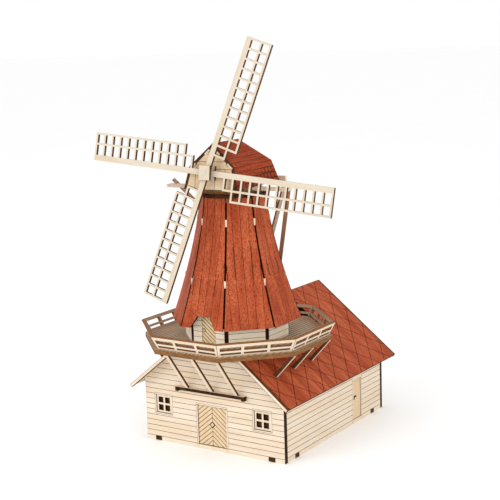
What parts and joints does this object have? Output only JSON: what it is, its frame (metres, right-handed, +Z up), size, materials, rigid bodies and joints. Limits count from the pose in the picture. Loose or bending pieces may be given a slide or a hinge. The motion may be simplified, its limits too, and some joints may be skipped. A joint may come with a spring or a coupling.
{
  "type": "traditional windmill",
  "caption": "Plywood model of a gallery smock mill on a gabled barn, with a flared tower, a turning cap with tail beams, and lattice sails that spin.",
  "frame": {"origin": "on the tower's axis, at the underside of the barn's floor and walls, which rest on the ground", "axes": "+Z up; -Y out of the barn's front wall with the double door; +X out of the long wall with the single door"},
  "size_m": [0.1741, 0.169, 0.2635],
  "materials": {
    "red_tile_sheet": "red wood stain, engraved diamond tiles",
    "red_panel_sheet": "red wood stain over upright grain",
    "red_cap_sheet": "red wood stain, engraved tile rows",
    "sail_sheet": "bare plywood with laser burnt edges",
    "dowel": "bare wood",
    "rail_sheet": "bare plywood with laser burnt edges",
    "board_wall_sheet": "bare plywood, engraved clapboards",
    "door_sheet": "bare plywood, engraved boards",
    "deck_sheet": "bare plywood, engraved planks",
    "burnt_edge_sheet": "plywood edge browned by the laser",
    "plain_sheet": "bare plywood"
  },
  "bodies": {
    "mill": {"barn_floor": "plain_sheet", "front_wall": "board_wall_sheet", "rear_wall": "board_wall_sheet", "left_wall": "board_wall_sheet", "right_wall": "board_wall_sheet", "double_door": "door_sheet", "side_door": "door_sheet", "window_sashes": "plain_sheet", "barn_roof_left": "red_tile_sheet", "barn_roof_right": "red_tile_sheet", "front_barge_boards": "plain_sheet", "rear_barge_boards": "plain_sheet", "ledger": "plain_sheet", "front_struts": "plain_sheet", "left_struts": "plain_sheet", "right_struts": "plain_sheet", "gallery_deck": "deck_sheet", "rail_front": "rail_sheet", "rail_front_right": "rail_sheet", "rail_right": "rail_sheet", "rail_rear_right": "rail_sheet", "rail_rear": "rail_sheet", "rail_rear_left": "rail_sheet", "rail_left": "rail_sheet", "rail_front_left": "rail_sheet", "tower_base_walls": "board_wall_sheet", "gallery_door": "door_sheet", "tower_ribs": "plain_sheet", "tower_frame_lower": "plain_sheet", "tower_frame_upper": "plain_sheet", "tower_top_plate": "plain_sheet", "tower_panels": "red_panel_sheet", "tower_panel_front": "red_panel_sheet", "tower_panel_rear": "red_panel_sheet", "curb_ring": "burnt_edge_sheet"},
    "cap": {"cap_turntable": "burnt_edge_sheet", "cap_floor": "burnt_edge_sheet", "cap_front_gable": "plain_sheet", "cap_rear_wall": "plain_sheet", "cap_rear_slope": "red_cap_sheet", "cap_roof_left": "red_cap_sheet", "cap_roof_right": "red_cap_sheet", "cap_side_left": "red_cap_sheet", "cap_side_right": "red_cap_sheet", "long_cross_beam": "plain_sheet", "short_cross_beam": "plain_sheet", "tail_pole": "plain_sheet", "long_braces": "plain_sheet", "short_braces": "plain_sheet", "shaft_bearing": "plain_sheet"},
    "rotor": {"windshaft": "dowel", "hub_plates": "sail_sheet", "sails_upright": "sail_sheet", "sails_level": "sail_sheet"}
  },
  "joints": [
    {"name": "cap_turn", "type": "hinge", "parent": "mill", "child": "cap", "pos_m": [0, 0, 0.1637], "axis": [0, 0, 1], "continuous": true},
    {"name": "rotor_spin", "type": "hinge", "parent": "cap", "child": "rotor", "pos_m": [0.00212, -0.03033, 0.1805], "axis": [0.0691, -0.9879, 0.1392], "continuous": true}
  ]
}
